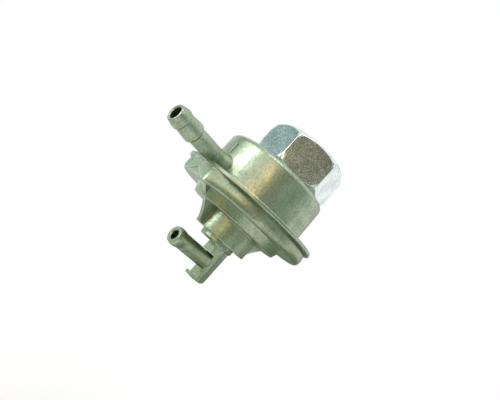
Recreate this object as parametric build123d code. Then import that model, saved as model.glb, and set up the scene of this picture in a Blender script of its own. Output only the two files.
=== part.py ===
"""Vacuum fuel tap of a small scooter, in millimetres.

Two zinc die castings meet at a round flange. The upper casting is the tap body:
it carries the barbed fuel nozzle and, off its middle, the pressed-in inlet sleeve
on which the union nut turns. The lower casting is the vacuum cover: rim, step,
drum with two gussets, boss, and an arm with the vacuum nozzle.
Between them a rubber diaphragm carries the valve that opens the fuel passage.

Frame: +Z points to the tank, the origin is on the union nut's axis at the middle
of its thread, and both nozzles point to -Y.
"""
from build123d import *
import math
import os

# Union nut, M16 x 1.5, 22 mm across flats
thread_r = 7.19
thread_length = 5.0
nut_across_flats = 22.0
nut_height = 11.6
nut_turn_deg = -6.7
nut_end_r = 10.3
nut_end_slope_deg = 37.0
nut_lip = 2.3
mouth_chamfer = 0.9
relief_r = 8.15

# Clearances
running_gap = 0.05
seat_gap = 0.1
free_gap = 0.3
nut_play = 0.2
cut_over = 1.0

# Inlet sleeve, its seals and the strainer
sleeve_neck_r = 5.5
sleeve_tail_r = 4.9
sleeve_tail_length = 6.0
sleeve_tail_chamfer = 0.4
sleeve_bore_r = 3.3
collar_r = 7.0
collar_thickness = 1.5
inlet_washer_inset = 0.2
inlet_washer_thickness = 1.2
seal_ring_r = 0.38
seal_ring_squeeze = 0.04
seal_groove_width = 1.1
strainer_flange_r = 4.1
strainer_flange_thickness = 0.7
strainer_length = 10.0
strainer_wall = 0.45
strainer_band = 1.8
strainer_end = 0.8
strainer_rib_width = 0.8
strainer_rib_count = 4
gauze_thickness = 0.2

# Tap body casting
nut_to_body_gap = 0.3
inlet_offset = 3.9
body_r = 16.1
body_draft_deg = 1.3
body_height = 11.7
body_edge_r = 1.5
body_wall = 2.3
body_roof = 2.8
flange_r = 21.5
flange_thickness = 1.0
flange_edge_r = 0.25
post_wall = 1.8
inlet_pocket_ledge = 0.9
inlet_pocket_depth = 1.4
lug_half_width = 5.2
lug_reach = 20.9
lug_depth = 2.2
lug_edge_r = 0.3
parting_ridge_x = -1.2
parting_ridge_width = 0.35
parting_ridge_height = 0.16
parting_ridge_length = 3.0
parting_ridge_drop = 3.1
parting_ridge_root = 0.8

# Fuel nozzle
fuel_axis_above_flange = 1.75
fuel_tip_reach = 36.0
fuel_shaft_r = 2.4
fuel_root_r = 3.1
fuel_root_flare = 2.4
fuel_barb_r = 2.87
fuel_barb_land = 1.0
fuel_barb_step = 0.6
fuel_barb_neck_r = 2.6
fuel_barb_back = 3.2
fuel_barb_pitch = 5.0
fuel_tip_r = 2.38
fuel_tip_edge_r = 0.3
fuel_bore_r = 1.7
fuel_bore_chamfer = 0.25
barb_round_r = 0.25

# Vacuum cover casting
rim_r = 20.7
rim_barrel = 0.5
rim_height = 3.9
rim_edge_r = 1.1
step_top_r = 15.0
step_bottom_r = 13.95
step_height = 2.5
step_edge_r = 0.3
drum_top_r = 8.55
drum_foot_r = 8.35
drum_height = 5.65
drum_edge_r = 0.2
boss_r = 5.3
boss_height = 1.7
boss_edge_r = 0.6
gusset_thickness = 1.1
gusset_near_reach = 16.4
gusset_far_reach = 18.3
gusset_foot_reach = 9.7
gusset_hollow = 0.7
cover_wall = 1.6
rim_floor = 1.2
drum_cavity_r = 6.4
drum_floor = 1.4
peg_count = 6
peg_r = 1.1
peg_head_r = 1.5
peg_head_depth = 0.5

# Arm and vacuum nozzle
arm_half_width = 1.95
arm_back_r = 1.7
arm_back = 6.0
arm_side_end = 3.0
arm_front = 0.8
arm_web_set_back = 1.4
arm_length = 10.85
arm_top_pad = 2.6
arm_lip = 1.1
arm_corner_r = 2.8
arm_low_edge_r = 0.4
arm_edge_r = 0.2
vacuum_axis_drop = 5.0
vacuum_tip_reach = 12.5
vacuum_shaft_r = 2.35
vacuum_root_taper = 0.9
vacuum_swell_r = 2.6
vacuum_swell_length = 3.2
vacuum_swell_rise = 1.2
vacuum_swell_land = 1.1
vacuum_bore_r = 1.3
vacuum_bore_chamfer = 0.3
vacuum_tip_edge_r = 0.3
passage_r = 0.8
passage_offset = 3.6

# Diaphragm and valve
membrane_thickness = 0.7
membrane_clamp_width = 2.6
membrane_bend_r = 1.5
membrane_bend_inset = 0.6
bead_r = 0.6
bead_inset = 0.2
plate_r = 8.6
plate_thickness = 0.8
plate_lip = 1.0
valve_stroke = 1.5
seat_bore_r = 2.2
seat_outer_r = 3.1
seat_length = 2.4
seat_lip_height = 0.35
seal_r = 3.3
seal_thickness = 1.2
cup_wall = 0.6
cup_floor = 0.5
cup_height = 1.2
stem_r = 1.4
stem_tail_r = 1.1
clip_r = 2.6
clip_thickness = 0.4
guide_bush_wall = 0.9
guide_bush_length = 2.2
spring_wire_r = 0.35
spring_coil_r = 4.3
spring_turns = 5.0
spring_washer_thickness = 0.4

# Heights worked out from the thread's middle downwards
thread_bottom = -thread_length / 2
nut_top = thread_length / 2 + mouth_chamfer
nut_bottom = nut_top - nut_height
lip_top = nut_bottom + nut_lip
collar_bottom = lip_top + running_gap
collar_top = collar_bottom + collar_thickness
body_top = nut_bottom - nut_to_body_gap
flange_top = body_top - body_height
joint_z = flange_top - flange_thickness
rim_bottom = joint_z - rim_height
step_bottom = rim_bottom - step_height
drum_bottom = step_bottom - drum_height
boss_bottom = drum_bottom - boss_height
arm_bottom = boss_bottom - arm_length
fuel_z = flange_top + fuel_axis_above_flange
vacuum_z = boss_bottom - vacuum_axis_drop

# The castings share an axis that lies beside the nut's
axis_y = -inlet_offset
rim_end_r = rim_r - rim_barrel

# Sleeve's tail, its groove and the strainer that hangs in it
tail_bottom = body_top - sleeve_tail_length
groove_floor_r = sleeve_tail_r - 2 * seal_ring_r - seal_ring_squeeze
groove_z = body_top - sleeve_tail_length / 2
strainer_bottom = collar_top - strainer_length
strainer_r = sleeve_bore_r - seat_gap
gauze_r = strainer_r - strainer_wall

# Diaphragm, clamped at its rim, with its middle raised while the valve is shut
chamber_r = body_r - body_wall
chamber_roof = body_top - body_roof
membrane_r = chamber_r + membrane_clamp_width
membrane_top = joint_z - seat_gap / 2
membrane_bottom = membrane_top - membrane_thickness
membrane_rise = valve_stroke + seat_gap
raised_top = membrane_top + membrane_rise
raised_bottom = membrane_bottom + membrane_rise
bead_circle_r = membrane_r - bead_r - bead_inset

# Valve stack, from the raised middle upwards and downwards
upper_plate_top = raised_top + plate_thickness
cup_top = upper_plate_top + cup_height
seal_bottom = upper_plate_top + cup_floor
seat_face = seal_bottom + seal_thickness
post_bottom = seat_face + seat_lip_height
seat_top = post_bottom + seat_length - seat_lip_height
lower_plate_bottom = raised_bottom - plate_thickness
clip_bottom = lower_plate_bottom - clip_thickness
drum_floor_z = drum_bottom + drum_floor
washer_top = drum_floor_z + spring_washer_thickness
bush_r = stem_tail_r + running_gap
stem_end = drum_floor_z - guide_bush_length + valve_stroke + free_gap / 2
passage_y = axis_y + passage_offset
peg_circle_r = (flange_r + body_r) / 2


def disc(radius, bottom, top, y=0.0):
    """Upright cylinder between two heights, on the axis at y."""
    height = top - bottom
    return Pos(0, y, bottom + height / 2) * Cylinder(radius, height)


def ring(outer, inner, bottom, top, y=0.0):
    """Upright tube between two heights."""
    return disc(outer, bottom, top, y) - disc(inner, bottom - cut_over, top + cut_over, y)


def cone(bottom_r, top_r, bottom, top, y=0.0):
    """Upright cone frustum between two heights."""
    height = top - bottom
    return Pos(0, y, bottom + height / 2) * Cone(bottom_r, top_r, height)


def block(x_from, x_to, y_from, y_to, bottom, top):
    """Box between six planes."""
    place = Pos((x_from + x_to) / 2, (y_from + y_to) / 2, (bottom + top) / 2)
    return place * Box(x_to - x_from, y_to - y_from, top - bottom)


def turned(points, y=0.0):
    """Solid of revolution about the upright axis at y from (radius, height) points."""
    outline = make_face(Polyline([(r, 0, z) for r, z in points], close=True))
    return Pos(0, y, 0) * revolve(outline, Axis.Z)


def turned_nozzle(points, z, rounds=()):
    """Solid of revolution about a nozzle's axis from (radius, reach) points.

    The reach is counted from the castings' axis towards the nozzle's tip.
    Each of the rounds is a radius with the numbers of the points that it rounds.
    """
    outline = make_face(Polyline([(r, -reach, 0) for r, reach in points], close=True))
    for radius, numbers in rounds:
        spots = [Vector(points[n][0], -points[n][1], 0) for n in numbers]
        near = [v for v in outline.vertices() if min((Vector(*v) - s).length for s in spots) < running_gap]
        outline = fillet(near, radius)
    return Pos(0, axis_y, z) * revolve(outline, Axis.Y)


def union_nut():
    """Hexagon nut with an inner lip, a thread relief and chamfered ends."""
    corner_r = nut_across_flats / math.sqrt(3)
    hexagon = RegularPolygon(corner_r, 6, rotation=nut_turn_deg)
    nut = Pos(0, 0, nut_bottom) * extrude(hexagon, nut_height)
    outer_r = corner_r + cut_over
    drop = (outer_r - nut_end_r) * math.tan(math.radians(nut_end_slope_deg))
    nut &= turned([
        (0, nut_bottom), (nut_end_r, nut_bottom), (outer_r, nut_bottom + drop),
        (outer_r, nut_top - drop), (nut_end_r, nut_top), (0, nut_top),
    ])
    nut -= disc(sleeve_neck_r + nut_play, nut_bottom - cut_over, nut_top)
    nut -= disc(relief_r, lip_top, thread_bottom)
    nut -= disc(thread_r, lip_top, nut_top + cut_over)
    mouth_r = thread_r + mouth_chamfer + cut_over
    nut -= cone(thread_r, mouth_r, nut_top - mouth_chamfer, nut_top + cut_over)
    return nut


def inlet_sleeve():
    """Turned sleeve: collar above the nut's lip, neck, and pressed tail with a seal groove."""
    sleeve = disc(collar_r, collar_bottom, collar_top)
    sleeve = sleeve + disc(sleeve_neck_r, body_top, collar_bottom)
    sleeve = sleeve + disc(sleeve_tail_r, tail_bottom, body_top)
    half_groove = seal_groove_width / 2
    sleeve -= ring(sleeve_tail_r + cut_over, groove_floor_r, groove_z - half_groove, groove_z + half_groove)
    tail_edge = sleeve.edges().filter_by(GeomType.CIRCLE).sort_by(Axis.Z)[0]
    sleeve = chamfer(tail_edge, sleeve_tail_chamfer)
    sleeve -= disc(sleeve_bore_r, tail_bottom - cut_over, collar_top + cut_over)
    sleeve -= disc(strainer_flange_r + running_gap, collar_top - strainer_flange_thickness,
                   collar_top + cut_over)
    return sleeve


def sleeve_seal_ring():
    """Rubber ring in the sleeve's groove."""
    middle_r = (groove_floor_r + sleeve_tail_r) / 2
    return Pos(0, 0, groove_z) * Torus(middle_r, seal_ring_r)


def inlet_washer():
    """Flat sealing washer on the collar, for the end of the tank's spigot."""
    return ring(collar_r - inlet_washer_inset, strainer_flange_r + free_gap, collar_top,
                collar_top + inlet_washer_thickness)


def strainer_frame():
    """Thimble frame with a flange, upright ribs and a closed end."""
    inner = gauze_r - gauze_thickness
    flange_bottom = collar_top - strainer_flange_thickness
    band_bottom = collar_top - strainer_band
    end_top = strainer_bottom + strainer_end
    frame = ring(strainer_flange_r, inner, flange_bottom, collar_top)
    frame += ring(strainer_r, inner, band_bottom, flange_bottom)
    frame += disc(strainer_r, strainer_bottom, end_top)
    half_rib = strainer_rib_width / 2
    rib = block(gauze_r, strainer_r, -half_rib, half_rib, end_top, band_bottom)
    for i in range(strainer_rib_count):
        frame += Rot(0, 0, 360 / strainer_rib_count * i) * rib
    return frame


def strainer_gauze():
    """Gauze tube inside the frame's ribs."""
    low = strainer_bottom + strainer_end
    return ring(gauze_r, gauze_r - gauze_thickness, low, collar_top - strainer_band)


def fuel_nozzle_outside():
    """Round nozzle with two rounded barbs and a root that flares into the body."""
    first = fuel_tip_reach - fuel_barb_back
    second = first - fuel_barb_pitch
    points = [
        (0, chamber_r), (fuel_root_r, chamber_r), (fuel_root_r, body_r),
        (fuel_shaft_r, body_r + fuel_root_flare), (fuel_shaft_r, second),
        (fuel_barb_r, second + fuel_barb_step), (fuel_barb_r, second + fuel_barb_step + fuel_barb_land),
        (fuel_barb_neck_r, first), (fuel_barb_r, first + fuel_barb_step / 2),
        (fuel_barb_r, first + fuel_barb_step / 2 + fuel_barb_land),
        (fuel_tip_r, fuel_tip_reach), (0, fuel_tip_reach),
    ]
    rounds = [(fuel_root_flare, [3]), (barb_round_r, [4, 5, 6, 7, 8, 9]), (fuel_tip_edge_r, [10])]
    return turned_nozzle(points, fuel_z, rounds)


def fuel_nozzle_bore():
    """Bore from the tip to the chamber, with a chamfered mouth."""
    mouth = fuel_bore_r + fuel_bore_chamfer
    start = chamber_r - body_wall
    beyond = fuel_tip_reach + cut_over
    return turned_nozzle([
        (0, start), (fuel_bore_r, start), (fuel_bore_r, fuel_tip_reach - fuel_bore_chamfer),
        (mouth, fuel_tip_reach), (mouth, beyond), (0, beyond),
    ], fuel_z)


def index_lug():
    """Flat-faced lug under the fuel nozzle, which keys into the cover's rim."""
    front = axis_y - lug_reach
    lug = block(-lug_half_width, lug_half_width, front, front + lug_depth, rim_bottom, flange_top)
    front_edges = lug.edges().filter_by(Axis.Z).sort_by(Axis.Y)[:2]
    return fillet(front_edges, lug_edge_r)


def parting_ridge():
    """Short witness line of the mould, high on the body above the fuel nozzle."""
    top = body_top - parting_ridge_drop
    front = axis_y - body_r
    ridge = Box(parting_ridge_width, 2 * (parting_ridge_root + parting_ridge_height), parting_ridge_length)
    place = Pos(parting_ridge_x, front + parting_ridge_root, top - parting_ridge_length / 2)
    return place * Rot(body_draft_deg, 0, 0) * ridge


def pegs(bottom):
    """Ring of pegs from a height up to the flange's top, with flush conical heads."""
    group = []
    for i in range(peg_count):
        angle = math.radians(360 / peg_count * (i + 0.5) - 90)
        x = peg_circle_r * math.cos(angle)
        y = axis_y + peg_circle_r * math.sin(angle)
        shank = disc(peg_r, bottom, flange_top, y)
        head = cone(peg_r, peg_head_r, flange_top - peg_head_depth, flange_top, y)
        group.append(Pos(x, 0, 0) * (shank + head))
    return group


def tap_body():
    """Upper casting: cored cylinder on a thin flange, with inlet post, lug and nozzle."""
    top_r = body_r - body_height * math.tan(math.radians(body_draft_deg))
    shell = cone(body_r, top_r, flange_top, body_top, axis_y)
    shell = fillet(shell.edges().sort_by(Axis.Z)[-1], body_edge_r)
    flange = disc(flange_r, joint_z, flange_top, axis_y)
    flange = fillet(flange.edges().filter_by(GeomType.CIRCLE), flange_edge_r)
    below_flange = disc(flange_r, rim_bottom, joint_z + flange_thickness / 2, axis_y)
    body = shell + flange + index_lug() + (fuel_nozzle_outside() - below_flange) + parting_ridge()
    body -= disc(chamber_r, joint_z - cut_over, chamber_roof, axis_y)
    inlet_post = disc(sleeve_tail_r + post_wall, post_bottom, body_top - body_edge_r)
    seat_post = disc(seat_outer_r + post_wall, post_bottom, body_top - body_edge_r, axis_y)
    inside = disc(body_r - body_wall / 2, post_bottom, body_top - body_edge_r, axis_y)
    body += (inlet_post + seat_post) & inside
    body -= disc(sleeve_tail_r, tail_bottom, body_top + cut_over)
    body -= disc(sleeve_tail_r - inlet_pocket_ledge, tail_bottom - inlet_pocket_depth, body_top)
    body -= disc(seat_bore_r, post_bottom - cut_over, tail_bottom, axis_y)
    body -= disc(seat_outer_r, post_bottom - cut_over, seat_top, axis_y)
    body -= fuel_nozzle_bore()
    for peg in pegs(joint_z - cut_over):
        body -= peg
    return body


def gusset(top_reach):
    """Gusset towards +Y with a hollow-curved edge, from the rim down to the drum's foot."""
    run = top_reach - gusset_foot_reach
    rise = rim_bottom - drum_bottom
    slant = math.hypot(run, rise)
    middle = (gusset_foot_reach + run / 2 - gusset_hollow * rise / slant,
              drum_bottom + rise / 2 + gusset_hollow * run / slant)
    top = (top_reach, rim_bottom)
    foot = (gusset_foot_reach, drum_bottom)
    root = drum_cavity_r + cover_wall / 2
    over = rim_bottom + rim_floor / 2
    closing = Polyline([foot, (root, drum_bottom), (root, over), (top_reach, over), top])
    face = make_face([ThreePointArc(top, middle, foot), *closing.edges()])
    return Pos(0, axis_y, 0) * extrude(Plane.YZ * face, gusset_thickness / 2, both=True)


def far_to_near(shape):
    """Turns a shape half round the castings' axis."""
    return Pos(0, axis_y, 0) * Rot(0, 0, 180) * Pos(0, -axis_y, 0) * shape


def drum():
    """Drafted drum under the step, with a softened lower edge."""
    shape = cone(drum_foot_r, drum_top_r, drum_bottom, step_bottom, axis_y)
    return fillet(shape.edges().filter_by(GeomType.CIRCLE).sort_by(Axis.Z)[0], drum_edge_r)


def rim():
    """Slightly barrelled rim with a rounded lower edge."""
    middle_z = (joint_z + rim_bottom) / 2
    side = ThreePointArc((rim_end_r, joint_z), (rim_r, middle_z), (rim_end_r, rim_bottom))
    frame = Polyline([(rim_end_r, rim_bottom), (0, rim_bottom), (0, joint_z), (rim_end_r, joint_z)])
    face = Plane.XZ * make_face([side, *frame.edges()])
    shape = Pos(0, axis_y, 0) * revolve(face, Axis.Z)
    return fillet(shape.edges().filter_by(GeomType.CIRCLE).sort_by(Axis.Z)[0], rim_edge_r)


def cover_outside():
    """Rim, step, drum, gussets and boss, without the arm."""
    step = cone(step_bottom_r, step_top_r, step_bottom, rim_bottom, axis_y)
    step = fillet(step.edges().filter_by(GeomType.CIRCLE).sort_by(Axis.Z)[0], step_edge_r)
    boss = disc(boss_r, boss_bottom, drum_bottom, axis_y)
    boss = fillet(boss.edges().filter_by(GeomType.CIRCLE).sort_by(Axis.Z)[0], boss_edge_r)
    gussets = gusset(gusset_far_reach) + far_to_near(gusset(gusset_near_reach))
    return rim() + step + drum() + boss + gussets


def arm_section(front):
    """Arm's outline from above: flat front and sides, then a drafted round back."""
    round_y = arm_back - arm_back_r
    back = ThreePointArc((arm_back_r, round_y), (0, arm_back), (-arm_back_r, round_y))
    sides = Polyline([
        (-arm_back_r, round_y), (-arm_half_width, arm_side_end), (-arm_half_width, front),
        (arm_half_width, front), (arm_half_width, arm_side_end), (arm_back_r, round_y),
    ])
    face = make_face([back, *sides.edges()])
    return fillet(face.vertices().sort_by(Axis.Y)[:2], arm_edge_r)


def low_edge_cutter(radius, length):
    """Bar along X that rounds a low edge, whose corner is at the origin and faces +Y."""
    bar = block(-length / 2, length / 2, -radius, cut_over, -cut_over, radius)
    return bar - Pos(0, -radius, radius) * Rot(0, 90, 0) * Cylinder(radius, length + cut_over)


def arm():
    """Arm with a top pad, a set-back web and a bottom lip, and a large round low at its back."""
    top = boss_bottom + boss_edge_r
    pad_bottom = boss_bottom - arm_top_pad
    web = Pos(0, axis_y, arm_bottom) * extrude(arm_section(arm_web_set_back), top - arm_bottom)
    pad = Pos(0, axis_y, pad_bottom) * extrude(arm_section(-arm_front), top - pad_bottom)
    lip = Pos(0, axis_y, arm_bottom) * extrude(arm_section(0), arm_lip)
    across = 4 * arm_half_width
    corner = Pos(0, axis_y + arm_back, arm_bottom) * low_edge_cutter(arm_corner_r, across)
    side = Rot(0, 0, -90) * low_edge_cutter(arm_low_edge_r, 4 * arm_back)
    side = Pos(arm_half_width, axis_y, arm_bottom) * side
    return web + pad + lip - corner - side - mirror(side, Plane.YZ)


def vacuum_nozzle_outside():
    """Round nozzle with a slightly swollen tip, run into the arm's web."""
    swell_start = vacuum_tip_reach - vacuum_swell_length
    land_start = swell_start + vacuum_swell_rise
    points = [
        (0, -arm_side_end), (vacuum_shaft_r - vacuum_root_taper, -arm_side_end),
        (vacuum_shaft_r, -arm_web_set_back), (vacuum_shaft_r, swell_start),
        (vacuum_swell_r, land_start), (vacuum_swell_r, land_start + vacuum_swell_land),
        (vacuum_shaft_r, vacuum_tip_reach), (0, vacuum_tip_reach),
    ]
    return turned_nozzle(points, vacuum_z, [(barb_round_r, [3, 4, 5]), (vacuum_tip_edge_r, [6])])


def vacuum_passages():
    """Nozzle bore with a chamfered mouth, and the upright hole from the drum's floor."""
    mouth = vacuum_bore_r + vacuum_bore_chamfer
    start = -passage_offset - passage_r
    beyond = vacuum_tip_reach + cut_over
    bore = turned_nozzle([
        (0, start), (vacuum_bore_r, start), (vacuum_bore_r, vacuum_tip_reach - vacuum_bore_chamfer),
        (mouth, vacuum_tip_reach), (mouth, beyond), (0, beyond),
    ], vacuum_z)
    return bore + disc(passage_r, vacuum_z, drum_floor_z + cut_over, passage_y)


def vacuum_cover():
    """Lower casting, hollow from the diaphragm down to the drum's floor."""
    cover = cover_outside() + arm() + vacuum_nozzle_outside()
    for peg in pegs(joint_z - rim_floor / 2):
        cover += peg
    cover -= disc(membrane_r + seat_gap, membrane_bottom, joint_z + flange_thickness / 2, axis_y)
    cover -= Pos(0, axis_y, membrane_bottom) * Torus(bead_circle_r, bead_r + running_gap)
    cover -= disc(chamber_r, rim_bottom + rim_floor, joint_z, axis_y)
    cover -= cone(step_bottom_r - cover_wall, step_top_r - cover_wall, step_bottom + cover_wall,
                  rim_bottom + cover_wall, axis_y)
    cover -= disc(drum_cavity_r, drum_floor_z, joint_z, axis_y)
    cover -= disc(bush_r + guide_bush_wall, drum_floor_z - guide_bush_length, drum_floor_z + cut_over, axis_y)
    cover -= vacuum_passages()
    lug_room = lug_half_width + seat_gap
    back = axis_y - lug_reach + lug_depth + seat_gap
    cover -= block(-lug_room, lug_room, axis_y - rim_r - cut_over, back, rim_bottom - cut_over,
                   joint_z + cut_over)
    return cover


def valve_seat():
    """Pressed seat bush whose lower lip meets the seal."""
    return ring(seat_outer_r, seat_bore_r, seat_face, seat_top, axis_y)


def diaphragm():
    """Rubber disc with a clamped bead, whose middle is raised on a sloping band."""
    inner_r = plate_r + membrane_bend_inset
    outer_r = chamber_r - membrane_bend_inset
    corners = [
        (stem_r, raised_top), (inner_r, raised_top), (outer_r, membrane_top), (membrane_r, membrane_top),
        (membrane_r, membrane_bottom), (outer_r, membrane_bottom), (inner_r, raised_bottom),
        (stem_r, raised_bottom),
    ]
    outline = make_face(Polyline([(r, 0, z) for r, z in corners], close=True))
    bends = [v for v in outline.vertices() if inner_r - seat_gap < v.X < outer_r + seat_gap]
    outline = fillet(bends, membrane_bend_r)
    bead = Pos(0, axis_y, membrane_bottom) * Torus(bead_circle_r, bead_r)
    return Pos(0, axis_y, 0) * revolve(outline, Axis.Z) + bead


def upper_plate():
    """Flat plate on the fuel side."""
    return ring(plate_r, stem_r, raised_top, upper_plate_top, axis_y)


def lower_plate():
    """Cupped plate on the vacuum side, which seats the spring."""
    plate = ring(plate_r, stem_r, lower_plate_bottom, raised_bottom, axis_y)
    inner = spring_coil_r + spring_wire_r + seat_gap
    lip = ring(inner + plate_thickness, inner, lower_plate_bottom - plate_lip, lower_plate_bottom, axis_y)
    return plate + lip


def valve_rivet():
    """Stem with a cupped head for the seal and a guided tail."""
    cup_r = seal_r + running_gap
    head = disc(cup_r + cup_wall, upper_plate_top, cup_top, axis_y)
    head -= disc(cup_r, seal_bottom, cup_top + cut_over, axis_y)
    stem = disc(stem_r, clip_bottom, upper_plate_top, axis_y)
    tail = disc(stem_tail_r, stem_end, clip_bottom, axis_y)
    return head + stem + tail


def valve_seal():
    """Rubber pad in the rivet's cup."""
    return disc(seal_r, seal_bottom, seat_face, axis_y)


def stem_clip():
    """Push-on clip that holds the plates on the stem."""
    return ring(clip_r, stem_r, clip_bottom, lower_plate_bottom, axis_y)


def return_spring():
    """Round-wire coil spring between the lower plate and its washer."""
    low = washer_top + spring_wire_r
    high = lower_plate_bottom - spring_wire_r
    height = high - low
    path = Helix(height / spring_turns, height, spring_coil_r)
    section = Plane(path @ 0, z_dir=path % 0) * Circle(spring_wire_r)
    return Pos(0, axis_y, low) * sweep(section, path, is_frenet=True)


def spring_seat_washer():
    """Thin steel washer on the drum's floor."""
    washer = ring(drum_cavity_r - seat_gap, stem_tail_r + guide_bush_wall + free_gap, drum_floor_z,
                  washer_top, axis_y)
    return washer - disc(passage_r + seat_gap, drum_floor_z - cut_over, washer_top + cut_over, passage_y)


def guide_bush():
    """Bush in the drum's floor that guides the stem's tail."""
    return ring(bush_r + guide_bush_wall, bush_r, drum_floor_z - guide_bush_length, drum_floor_z, axis_y)


nodes = {
    "tap_body": tap_body,
    "vacuum_cover": vacuum_cover,
    "union_nut": union_nut,
    "inlet_sleeve": inlet_sleeve,
    "sleeve_seal_ring": sleeve_seal_ring,
    "inlet_washer": inlet_washer,
    "strainer_frame": strainer_frame,
    "strainer_gauze": strainer_gauze,
    "valve_seat": valve_seat,
    "diaphragm": diaphragm,
    "upper_plate": upper_plate,
    "lower_plate": lower_plate,
    "valve_rivet": valve_rivet,
    "valve_seal": valve_seal,
    "stem_clip": stem_clip,
    "return_spring": return_spring,
    "spring_seat_washer": spring_seat_washer,
    "guide_bush": guide_bush,
}

os.makedirs("parts", exist_ok=True)
for name, build in nodes.items():
    export_step(build(), f"parts/{name}.step")
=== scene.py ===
"""Looks of a small scooter's vacuum fuel tap, dressed round its solids.

The castings, the turned parts, the plates and the seals keep their solid shapes and
get their finishes here. The union nut with its thread, the coil spring, the diaphragm,
the woven gauze and the two rim corners beside the lug are surfaces worked out on
grids. The pieces' lengths are millimetres, those of the studio and the camera metres.
"""

import logging
import math
from collections.abc import Callable
from dataclasses import dataclass
from enum import Enum
from typing import ClassVar

import bpy
import numpy as np
from mathutils import Matrix, Vector


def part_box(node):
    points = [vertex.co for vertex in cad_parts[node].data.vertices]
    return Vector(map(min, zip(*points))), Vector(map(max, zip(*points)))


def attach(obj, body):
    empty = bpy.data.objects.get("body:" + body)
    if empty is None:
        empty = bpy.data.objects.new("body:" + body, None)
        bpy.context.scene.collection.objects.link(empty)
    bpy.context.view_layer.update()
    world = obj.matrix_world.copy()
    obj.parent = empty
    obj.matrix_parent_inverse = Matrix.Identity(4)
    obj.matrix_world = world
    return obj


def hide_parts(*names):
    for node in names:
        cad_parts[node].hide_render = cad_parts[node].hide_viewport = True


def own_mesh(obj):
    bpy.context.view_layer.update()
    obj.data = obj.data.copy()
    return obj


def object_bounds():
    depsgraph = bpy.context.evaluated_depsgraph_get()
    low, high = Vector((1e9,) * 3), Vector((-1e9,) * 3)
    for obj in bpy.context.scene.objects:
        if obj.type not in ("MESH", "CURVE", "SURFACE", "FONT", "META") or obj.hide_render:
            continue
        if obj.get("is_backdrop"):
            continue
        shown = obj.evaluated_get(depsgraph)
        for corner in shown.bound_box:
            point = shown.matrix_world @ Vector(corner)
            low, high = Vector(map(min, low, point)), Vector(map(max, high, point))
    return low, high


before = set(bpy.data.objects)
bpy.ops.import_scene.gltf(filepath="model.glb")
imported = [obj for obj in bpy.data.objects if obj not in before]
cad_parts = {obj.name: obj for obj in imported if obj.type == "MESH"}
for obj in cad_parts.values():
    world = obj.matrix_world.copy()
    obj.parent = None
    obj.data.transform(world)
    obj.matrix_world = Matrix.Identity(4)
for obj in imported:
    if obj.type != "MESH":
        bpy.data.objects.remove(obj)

MM = 0.001
CASTING_AXIS_Y = -3.9
WHITE = (1.0, 1.0, 1.0, 1.0)
Triple = tuple[float, float, float]
Colour = Triple
Socket = bpy.types.NodeSocket
Value = float | Socket
log = logging.getLogger("fuel_tap")


class Slot(Enum):
    """Material slots of the pieces that are made here."""

    CAST_COVER = "cast_cover"
    PLATED_NUT = "plated_nut"
    STRAINER_MESH = "strainer_mesh"
    DIAPHRAGM_RUBBER = "diaphragm_rubber"
    SPRING_STEEL = "spring_steel"


class Skin(Enum):
    """Shader groups that a finish can use."""

    CAST = "cast_skin"
    PLATED = "plated_bar"
    TURNED = "turned_rings"
    GRAIN = "fine_grain"
    CLOTH = "cloth_print"


class Loop(Enum):
    """Which directions of a grid close on themselves."""

    COLUMNS = "columns"
    BOTH = "both"


class Side(Enum):
    """Side of the plane through both nozzles, as the sign of its X."""

    NEAR = 1.0
    FAR = -1.0


# Grids and meshes


def grid_quads(rows: int, columns: int, loop: Loop) -> np.ndarray:
    """Corner indices of a grid's quads.

    Args:
        rows: Number of rows of points.
        columns: Number of points in a row, which closes on itself.
        loop: Whether the last row also joins the first.

    Returns:
        An array with one quad a line.
    """
    last = rows if loop is Loop.BOTH else rows - 1
    j, i = np.meshgrid(np.arange(last), np.arange(columns), indexing="ij")
    here, there = j * columns, (j + 1) % rows * columns
    beside = (i + 1) % columns
    return np.stack([here + i, here + beside, there + beside, there + i], -1).reshape(-1, 4)


def signed_volume(points: np.ndarray, quads: np.ndarray) -> float:
    """Six times the volume that the quads enclose, negative if they face inwards."""
    a, b, c, d = (points[quads[:, k]] for k in range(4))
    return float(np.einsum("ij,ij->", a, np.cross(b, c) + np.cross(c, d)))


def make_piece(name: str, points: np.ndarray, quads: np.ndarray,
               smooth_deg: float = 40.0) -> bpy.types.Object:
    """Puts a grid surface into a new mesh object at the origin, facing outwards.

    Args:
        name: The piece's name.
        points: Points in millimetres, one a line.
        quads: Corner indices, one quad a line.
        smooth_deg: Edges that turn further than this stay sharp.

    Returns:
        The linked object.
    """
    if signed_volume(points, quads) < 0:
        quads = quads[:, ::-1]
    mesh = bpy.data.meshes.new(name)
    mesh.from_pydata((points * MM).tolist(), [], quads.tolist())
    mesh.polygons.foreach_set("use_smooth", np.ones(len(quads), bool))
    mesh.set_sharp_from_angle(angle=math.radians(smooth_deg))
    mesh.update()
    piece = bpy.data.objects.new(name, mesh)
    bpy.context.scene.collection.objects.link(piece)
    log.info("%s: %d quads", name, len(quads))
    return piece


def polar(radius: np.ndarray | float, angle: np.ndarray, height: np.ndarray,
          axis_y: float = 0.0) -> np.ndarray:
    """Turns radii, angles and heights into points round an upright axis.

    Args:
        radius: Distances from the axis.
        angle: Angles from X towards Y.
        height: Heights. All three are spread over each other.
        axis_y: Where the axis stands on Y.

    Returns:
        The points, their coordinates along the last direction.
    """
    radius, angle, height = np.broadcast_arrays(radius, angle, height)
    return np.stack([radius * np.cos(angle), axis_y + radius * np.sin(angle), height], -1)


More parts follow.
